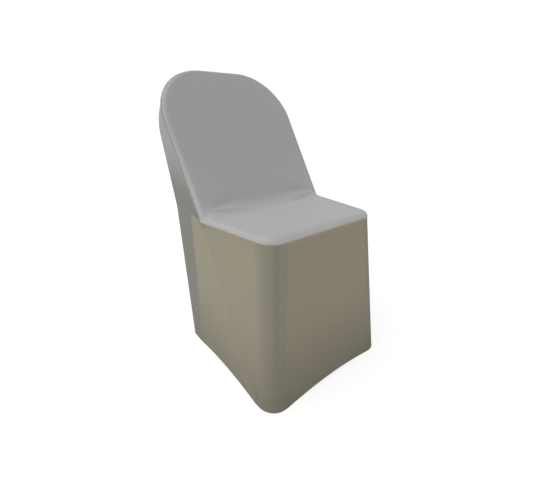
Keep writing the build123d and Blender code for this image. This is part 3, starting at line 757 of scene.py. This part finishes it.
@dataclass(frozen=True)
class NetMaker:
    """Makes even nets from the cover's solids, and cuts and smooths them. Lengths are in metres."""

    strain_map: StrainMap = StrainMap()
    spacing: float = 0.009
    weld: float = 1e-5
    slack: float = 1e-6
    sliver: float = 2e-5
    flat_angle: float = math.radians(0.4)
    sharp_angle: float = math.radians(42)

    def cut(
        self, net: bmesh.types.BMesh, point: Vector, normal: Vector, clear: bool = False
    ) -> list[bmesh.types.BMVert | bmesh.types.BMEdge]:
        """Cuts a net along a plane.

        Args:
            net: The net.
            point: A point of the plane.
            normal: The plane's normal.
            clear: Whether what lies beyond the plane is deleted.

        Returns:
            The vertices and edges of the cut.
        """
        geometry = [*net.verts, *net.edges, *net.faces]
        return bmesh.ops.bisect_plane(
            net, geom=geometry, dist=self.slack, plane_co=point, plane_no=normal, clear_outer=clear
        )["geom_cut"]

    def even_copy(self, node: str, strain: Strain = Strain.NONE) -> bmesh.types.BMesh:
        """Copies a panel's solid, cuts its flat faces into an even net and marks where it is strained.

        Args:
            node: The panel's name.
            strain: Where its knit is strained.

        Returns:
            The copy, merged and cut.
        """
        net = bmesh.new()
        net.from_mesh(frame["nodes"][node].data)
        bmesh.ops.remove_doubles(net, verts=net.verts, dist=self.weld)
        bmesh.ops.dissolve_limit(net, angle_limit=self.flat_angle, verts=net.verts, edges=net.edges)
        low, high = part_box(node)
        for axis, normal in enumerate((ASIDE, REARWARD, UPWARD)):
            length = high[axis] - low[axis]
            steps = max(1, round(length / self.spacing))
            for step in range(1, steps):
                self.cut(net, normal * (low[axis] + length * step / steps), normal)
        net.normal_update()
        self.strain_map.mark(net, strain)
        return net

    def keep_side(self, net: bmesh.types.BMesh, point: Vector, normal: Vector) -> bmesh.types.BMesh:
        """Copies what lies on one side of a plane.

        Args:
            net: The net, which is kept.
            point: A point of the plane.
            normal: The plane's normal, towards the side that is left out.

        Returns:
            The copy, closed along the cut.
        """
        side = net.copy()
        self.cut(side, point, normal, clear=True)
        bmesh.ops.holes_fill(side, edges=[edge for edge in side.edges if edge.is_boundary], sides=0)
        return side

    def smooth(self, net: bmesh.types.BMesh) -> None:
        """Removes a net's slivers and shades it smooth between its sharp edges.

        Args:
            net: The net.
        """
        bmesh.ops.dissolve_degenerate(net, edges=net.edges, dist=self.sliver)
        net.normal_update()
        for edge in net.edges:
            faces = edge.link_faces
            edge.smooth = (
                len(faces) == 2 and faces[0].normal.angle(faces[1].normal, 0) < self.sharp_angle
            )
        for face in net.faces:
            face.smooth = True


@dataclass(frozen=True)
class SeatCorners:
    """The cloth at the seat's rear corners: drawn over the hollow there and creased in a fan.

    Lengths are in metres, and the fan's turn and spread in radians from the seat's rear edge.
    """

    plane: LeaningFrame = PLANE
    half: float = 0.212
    hollow_up: float = 0.024
    hollow_reach: float = 0.045
    hollow_ahead: float = 0.004
    hollow_rounds: int = 16
    hollow_factor: float = 0.5
    fan_back: float = 0.004
    fan_reach: float = 0.17
    fan_turn: float = 0.12
    fan_spread: float = 0.34
    fan_power: float = 1.5
    crease_rate: float = 15.0
    crease_shift: float = 0.6
    crease_deep: float = 0.0022
    seat_reach: float = 0.05

    def ease(self, net: bmesh.types.BMesh) -> None:
        """Draws the cloth smoothly over the hollows where seat and back meet.

        Args:
            net: The net of seat and back.
        """
        pivot = self.plane.seat_pivot
        for side in (-1, 1):
            hollow = Vector((side * self.half, pivot.y, pivot.z + self.hollow_up))
            near = [
                vert
                for vert in net.verts
                if (vert.co - hollow).length < self.hollow_reach
                and self.plane.depth(vert.co) > self.hollow_ahead
                and vert.co.z > SEAMS.height
            ]
            for _ in range(self.hollow_rounds):
                bmesh.ops.smooth_vert(
                    net,
                    verts=near,
                    factor=self.hollow_factor,
                    use_axis_x=True,
                    use_axis_y=True,
                    use_axis_z=True,
                )

    def crease(self, net: bmesh.types.BMesh) -> None:
        """Presses a fan of soft creases into the cloth, from each rear corner of the seat inwards.

        Args:
            net: The net of seat and back.
        """
        pivot = self.plane.seat_pivot
        for side in (-1, 1):
            corner = Vector((side * self.half, pivot.y + self.fan_back, 0))
            for vert in net.verts:
                away = Vector((vert.co.x, vert.co.y, 0)) - corner
                reach = away.length / self.fan_reach
                if reach < 1 and vert.co.z > pivot.z:
                    turn = math.atan2(-away.y, -side * away.x)
                    off = (turn - self.fan_turn) / self.fan_spread
                    fade = math.sin(math.pi * reach) ** self.fan_power * math.exp(-(off**2))
                    wave = math.sin(turn * self.crease_rate + self.crease_shift)
                    vert.co += self.lift(vert.co) * (self.crease_deep * fade * wave)

    def lift(self, place: Vector) -> Vector:
        """The way that cloth lifts at a place: up from the seat, or out from the back."""
        lean = portion(self.plane.depth(place), self.seat_reach)
        return (UPWARD * lean + self.plane.front * (1 - lean)).normalized()


@dataclass(frozen=True)
class SeatSeam:
    """The seam roll round the seat, laid along the outside of the seat's cloth."""

    lines: SeamLines = SEAMS
    maker: NetMaker = NetMaker()
    middle: float = 0.11
    step: float = 0.004
    sides: int = 8

    def path(self, net: bmesh.types.BMesh, depth: float) -> list[Vector]:
        """Points along the cloth's outside at the seam's height, from one rear corner to the other.

        Args:
            net: The net of seat and back.
            depth: How far in front of the frame's plane the seam ends.

        Returns:
            The points, in order.
        """
        plane, height = self.lines.plane, self.lines.height
        level = net.copy()
        found = self.maker.cut(level, UPWARD * height, UPWARD)
        level.normal_update()
        middle = Vector((0, plane.seat_pivot.y - self.middle, height))
        outside = [
            vert.co.copy()
            for vert in found
            if isinstance(vert, bmesh.types.BMVert)
            and (vert.co - middle).dot(vert.normal) > 0
            and plane.depth(vert.co) > depth
        ]
        level.free()
        outside.sort(key=lambda place: math.atan2(place.x - middle.x, middle.y - place.y))
        points = outside[:1]
        for place in outside[1:]:
            if (place - points[-1]).length > self.step:
                points.append(place)
        return points

    def ring(
        self, roll: bmesh.types.BMesh, place: Vector, along: Vector, closed: bool
    ) -> list[bmesh.types.BMEdge]:
        """Adds one ring of the roll.

        Args:
            roll: The roll's mesh.
            place: The ring's middle.
            along: The way the seam runs there.
            closed: Whether the ring is an end of the roll.

        Returns:
            The ring's edges.
        """
        out = along.cross(UPWARD).normalized()
        turn = Matrix((out, UPWARD, out.cross(UPWARD))).transposed().to_4x4()
        made = bmesh.ops.create_circle(
            roll,
            segments=self.sides,
            radius=self.lines.roll,
            cap_ends=closed,
            matrix=Matrix.Translation(place) @ turn,
        )
        return list(dict.fromkeys(edge for vert in made["verts"] for edge in vert.link_edges))

    def mesh(self, net: bmesh.types.BMesh, depth: float) -> bmesh.types.BMesh:
        """Makes the roll.

        Args:
            net: The net of seat and back.
            depth: How far in front of the frame's plane the roll ends.

        Returns:
            The roll's closed mesh.
        """
        path = self.path(net, depth)
        last = len(path) - 1
        roll = bmesh.new()
        rings = []
        for index, place in enumerate(path):
            along = path[min(index + 1, last)] - path[max(index - 1, 0)]
            rings.append(self.ring(roll, place, along.normalized(), index in (0, last)))
        for first, second in zip(rings, rings[1:]):
            bmesh.ops.bridge_loops(roll, edges=[*first, *second])
        bmesh.ops.recalc_face_normals(roll, faces=roll.faces)
        return roll


@dataclass(frozen=True)
class FoldPlan:
    """Where the cover is cut beside the frame, with levels and shares listed for how its strips would give way as
    the chair folds.

    Cuts and levels are metres in front of the frame's plane. A piece that gave way would keep that share of its
    distance from its level; the rear face's level is metres behind its own plane instead. These levels and shares
    are not applied to any piece.
    """

    plane: LeaningFrame = PLANE
    front_cut: float = 0.0133
    rear_cut: float = -0.018
    front_level: float = 0.0233
    front_keep: float = 0.05
    slide_level: float = 0.2033
    slide_keep: float = 0.95
    rear_keep: float = 0.09
    face_level: float = 0.2
    face_keep: float = 0.93

    def give_way(self, piece: bpy.types.Object, part: Part) -> None:
        """Gives a strip its own mesh; its level and share are looked up, but the strip is not moved.

        Args:
            piece: The strip.
            part: Where it lies.
        """
        level, keep = {
            Part.AHEAD: (self.front_level, self.front_keep),
            Part.BESIDE: (self.slide_level, self.slide_keep),
            Part.BEHIND: (self.rear_cut, self.rear_keep),
        }[part]
        self.plane.ahead(level)
        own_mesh(piece)

    def ease_face(self, piece: bpy.types.Object, point: Vector, normal: Vector) -> None:
        """Gives the rear face its own mesh; it is not moved."""
        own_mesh(piece)


@dataclass(frozen=True)
class SlipCover:
    """The stretch slip cover: panels made even, eased and cut into strips that ride on the chair's bodies."""

    dresser: Dresser
    plane: LeaningFrame = PLANE
    maker: NetMaker = NetMaker()
    corners: SeatCorners = SeatCorners()
    seam: SeatSeam = SeatSeam()
    plan: FoldPlan = FoldPlan()
    rear_rim: float = 0.0125
    rear_wrap: float = 0.01307
    lining_inset: float = 0.0005
    lining_cut: float = 0.0112
    side_facing: float = 0.75
    back_facing: float = 0.9
    seat_facing: float = 0.7

    def knit_ways(self, normal: Vector) -> tuple[Vector, Vector]:
        """The directions of courses and wales on a face.

        Args:
            normal: The face's normal.

        Returns:
            The way across and the way up.
        """
        if abs(normal.x) > self.side_facing:
            return REARWARD, UPWARD
        if normal.dot(self.plane.front) > self.back_facing:
            return ASIDE, self.plane.up
        if abs(normal.z) > self.seat_facing:
            return ASIDE, REARWARD
        return ASIDE, UPWARD

    def lay_knit(self, net: bmesh.types.BMesh) -> None:
        """Lays the knit's wales up each face and its courses across, in metres.

        Args:
            net: The piece's net.
        """
        layer = net.loops.layers.uv.new(KNIT_MAP)
        for face in net.faces:
            across, up = self.knit_ways(face.normal)
            for loop in face.loops:
                loop[layer].uv = (across.dot(loop.vert.co), up.dot(loop.vert.co))

    def finish_piece(
        self, net: bmesh.types.BMesh, name: str, body: str, finish: Finish
    ) -> bpy.types.Object:
        """Makes an object of a net.

        Args:
            net: The piece's mesh, which is freed.
            name: The piece's name.
            body: The body it moves with.
            finish: Its finish, which is named like the record's slot.

        Returns:
            The object, in the scene.
        """
        self.maker.smooth(net)
        self.lay_knit(net)
        mesh = bpy.data.meshes.new(name)
        net.to_mesh(mesh)
        net.free()
        piece = bpy.data.objects.new(name, mesh)
        bpy.context.scene.collection.objects.link(piece)
        self.dresser.dress(piece, finish)
        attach(piece, body)
        log.info("cover piece %s rides on %s with %d faces", name, body, len(mesh.polygons))
        return piece

    def strip(self, net: bmesh.types.BMesh, part: Part) -> bmesh.types.BMesh:
        """Copies the strip of a net that lies ahead of, beside or behind the frame.

        Args:
            net: The net, which is kept.
            part: Which strip is wanted.

        Returns:
            The strip, closed along its cuts.
        """
        front = self.plane.front
        front_cut = self.plane.ahead(self.plan.front_cut)
        rear_cut = self.plane.ahead(self.plan.rear_cut)
        if part is Part.AHEAD:
            return self.maker.keep_side(net, front_cut, -front)
        if part is Part.BEHIND:
            return self.maker.keep_side(net, rear_cut, front)
        half = self.maker.keep_side(net, front_cut, front)
        whole = self.maker.keep_side(half, rear_cut, -front)
        half.free()
        return whole

    def lining(self, strip: bmesh.types.BMesh, name: str, finish: Finish) -> bpy.types.Object:
        """The turned-in layer of a strip's sides.

        Args:
            strip: The strip, which is kept.
            name: The lining's name.
            finish: Its finish.

        Returns:
            The lining, within the strip's thickness.
        """
        net = self.maker.keep_side(strip, self.plane.ahead(self.lining_cut), self.plane.front)
        net.normal_update()
        for vert in net.verts:
            vert.co -= vert.normal * self.lining_inset
        return self.finish_piece(net, name, "frame", finish)

    def seat_and_back(self) -> None:
        """The inner panel: cut into the back's face, its lining and the seat's cloth, which ride on the frame."""
        net = self.maker.even_copy("cover_inner_panel", Strain.CORNERS)
        self.corners.ease(net)
        self.corners.crease(net)
        self.seat_welt(net)
        strip = self.strip(net, Part.BESIDE)
        lining = self.lining(strip, "cover_back_lining", Finish.cover_cool)
        back = self.finish_piece(strip, "cover_back_face", "frame", Finish.cover_cool)
        seat = self.finish_piece(
            self.strip(net, Part.AHEAD), "cover_seat_face", "frame", Finish.cover_cool
        )
        net.free()
        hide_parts("cover_inner_panel")
        self.plan.give_way(back, Part.BESIDE)
        self.plan.give_way(seat, Part.AHEAD)

    def seat_welt(self, net: bmesh.types.BMesh) -> None:
        """The seam roll round the seat.

        Args:
            net: The net of seat and back, which is kept.
        """
        roll = self.seam.mesh(net, self.plan.front_cut)
        piece = self.finish_piece(roll, "cover_seat_welt", "frame", Finish.welt_cord)
        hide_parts("seat_welt")
        self.plan.give_way(piece, Part.AHEAD)

    def skirt(self) -> None:
        """The skirt: front and sides ahead of the frame, a strip beside it and the sides behind it."""
        net = self.maker.even_copy("cover_skirt", Strain.CORNERS)
        strip = self.strip(net, Part.BESIDE)
        lining = self.lining(strip, "cover_skirt_lining", Finish.cover_warm)
        beside = self.finish_piece(strip, "cover_skirt_strip", "frame", Finish.cover_warm)
        ahead, behind = (
            self.finish_piece(self.strip(net, part), name, "frame", Finish.cover_warm)
            for part, name in ((Part.AHEAD, "cover_skirt_front"), (Part.BEHIND, "cover_skirt_rear"))
        )
        net.free()
        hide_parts("cover_skirt")
        self.plan.give_way(beside, Part.BESIDE)
        self.plan.give_way(ahead, Part.AHEAD)
        self.plan.give_way(behind, Part.BEHIND)

    def rear(self) -> None:
        """The rear panel: its flat face rides on the cover's swinging rear body, and its sides ride on the frame.
        """
        net = self.maker.even_copy("cover_rear_panel", Strain.SIDES)
        hem, normal = self.rear_plane()
        rim = hem - normal * self.rear_rim
        flat = self.finish_piece(
            self.maker.keep_side(net, rim, -normal), "cover_rear_face", "cover_rear", Finish.cover_warm
        )
        sides = self.maker.keep_side(net, rim, normal)
        strip, gusset = (
            self.finish_piece(self.strip(sides, part), name, "frame", Finish.cover_warm)
            for part, name in ((Part.BESIDE, "cover_rear_strip"), (Part.BEHIND, "cover_rear_sides"))
        )
        sides.free()
        net.free()
        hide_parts("cover_rear_panel")
        self.plan.ease_face(flat, hem, normal)
        self.plan.give_way(gusset, Part.BEHIND)

    def rear_plane(self) -> tuple[Vector, Vector]:
        """The plane of the rear panel's flat face.

        Returns:
            A point of it at the hem, and its outward normal.
        """
        pocket_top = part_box("rear_pocket_left")[1]
        hem = Vector((0, pocket_top.y, pocket_top.z))
        top = self.plane.crown + REARWARD * self.rear_wrap
        slope = math.atan2(top.y - hem.y, top.z - hem.z)
        return hem, Vector((0, math.cos(slope), -math.sin(slope)))

    def pockets(self) -> None:
        """The four foot pockets."""
        for end, body in (("front", "frame"), ("rear", "rear_legs")):
            for side in ("left", "right"):
                node = f"{end}_pocket_{side}"
                net = self.maker.even_copy(node, Strain.CORNERS)
                piece = self.finish_piece(net, f"cover_{node}", body, Finish.pocket_cloth)
                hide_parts(node)

    def back_welt(self) -> None:
        """The seam roll round the back."""
        net = self.maker.even_copy("back_welt")
        piece = self.finish_piece(net, "cover_back_welt", "frame", Finish.welt_cord)
        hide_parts("back_welt")

    def build(self) -> None:
        """Makes the whole cover."""
        self.seat_and_back()
        self.skirt()
        self.rear()
        self.pockets()
        self.back_welt()


@dataclass(frozen=True)
class Studio:
    """Pale floor, soft light and the photograph's camera."""

    eye: Vector = Vector((-0.627, -0.721, 0.708)).freeze()
    look: Vector = Vector((0.598, 0.708, -0.376)).freeze()
    roll: float = math.radians(0.8)
    focal_mm: float = 22.42
    sensor_mm: float = 36.0
    clip_start: float = 0.01
    clip_end: float = 200.0
    floor_half: float = 30.0
    floor_cells: int = 8
    floor_dark: RGB = (0.9, 0.9, 0.9)
    floor_pale: RGB = (0.92, 0.92, 0.92)
    floor_speckle: float = 3.0
    floor_glow: float = 1.08
    floor_glow_share: float = 0.74
    surround_seen: float = 1.0
    surround_light: float = 0.55
    lamp_travel: Vector = Vector((0.5, -0.13, -0.86)).freeze()
    lamp_energy: float = 1.95
    lamp_angle: float = math.radians(60)

    @staticmethod
    def facing(way: Vector) -> Matrix:
        """The turn of a camera or lamp that looks that way."""
        return way.to_track_quat("-Z", "Y").to_matrix().to_4x4()

    def camera(self) -> None:
        """Places the camera."""
        data = bpy.data.cameras.new("photo_camera")
        data.lens = self.focal_mm
        data.sensor_width = self.sensor_mm
        data.clip_start = self.clip_start
        data.clip_end = self.clip_end
        camera = bpy.data.objects.new("photo_camera", data)
        roll = Matrix.Rotation(self.roll, 4, "Z")
        camera.matrix_world = Matrix.Translation(self.eye) @ self.facing(self.look) @ roll
        bpy.context.scene.collection.objects.link(camera)
        bpy.context.scene.camera = camera

    def floor(self) -> None:
        """Lays a pale floor that keeps a soft shadow."""
        net = bmesh.new()
        cells = self.floor_cells
        bmesh.ops.create_grid(net, x_segments=cells, y_segments=cells, size=self.floor_half)
        mesh = bpy.data.meshes.new("floor")
        net.to_mesh(mesh)
        net.free()
        floor = bpy.data.objects.new("floor", mesh)
        bpy.context.scene.collection.objects.link(floor)
        floor.data.materials.append(self.floor_material())

    def floor_material(self) -> bpy.types.Material:
        """Builds the floor's material.

        Returns:
            A pale matt surface that the camera sees partly lit from within.
        """
        graph = Graph.of_material("pale_floor")
        speckle = graph.noise(graph.place(), self.floor_speckle)
        colour = graph.tint(speckle, self.floor_dark, self.floor_pale)
        matt = graph.node("ShaderNodeBsdfDiffuse", None, {"Color": colour})
        glow = graph.node("ShaderNodeEmission", None, {"Color": WHITE, "Strength": self.floor_glow})
        share = graph.background_rays() * self.floor_glow_share
        mixed = graph.node("ShaderNodeMixShader", None, {0: share, 1: matt, 2: glow})
        graph.node("ShaderNodeOutputMaterial", None, {"Surface": mixed})
        return graph.owner

    def world(self) -> None:
        """A white surround that lights the chair evenly."""
        world = bpy.data.worlds.new("surround")
        bpy.context.scene.world = world
        graph = Graph(world)
        light, seen = (
            graph.node("ShaderNodeBackground", None, {"Color": WHITE, "Strength": strength})
            for strength in (self.surround_light, self.surround_seen)
        )
        mixed = graph.node("ShaderNodeMixShader", None, {0: graph.background_rays(), 1: light, 2: seen})
        graph.node("ShaderNodeOutputWorld", None, {"Surface": mixed})

    def lamp(self) -> None:
        """One broad lamp, above and to the photograph's left."""
        data = bpy.data.lights.new("broad_lamp", "SUN")
        data.energy = self.lamp_energy
        data.angle = self.lamp_angle
        lamp = bpy.data.objects.new("broad_lamp", data)
        lamp.matrix_world = self.facing(self.lamp_travel)
        bpy.context.scene.collection.objects.link(lamp)

    def build(self) -> None:
        """Sets the whole studio."""
        self.camera()
        self.floor()
        self.world()
        self.lamp()
        bpy.context.scene.view_settings.view_transform = "Standard"


def main() -> None:
    """Builds the cover, dresses the chair and sets the studio."""
    logging.basicConfig(level=logging.INFO)
    slots = {entry["node"]: entry["material_slot"] for entry in frame["record"]["subparts"]}
    dresser = Dresser()
    SlipCover(dresser).build()
    dresser.dress_chair(frame["nodes"], slots)
    Studio().build()


if __name__ == "__main__":
    main()
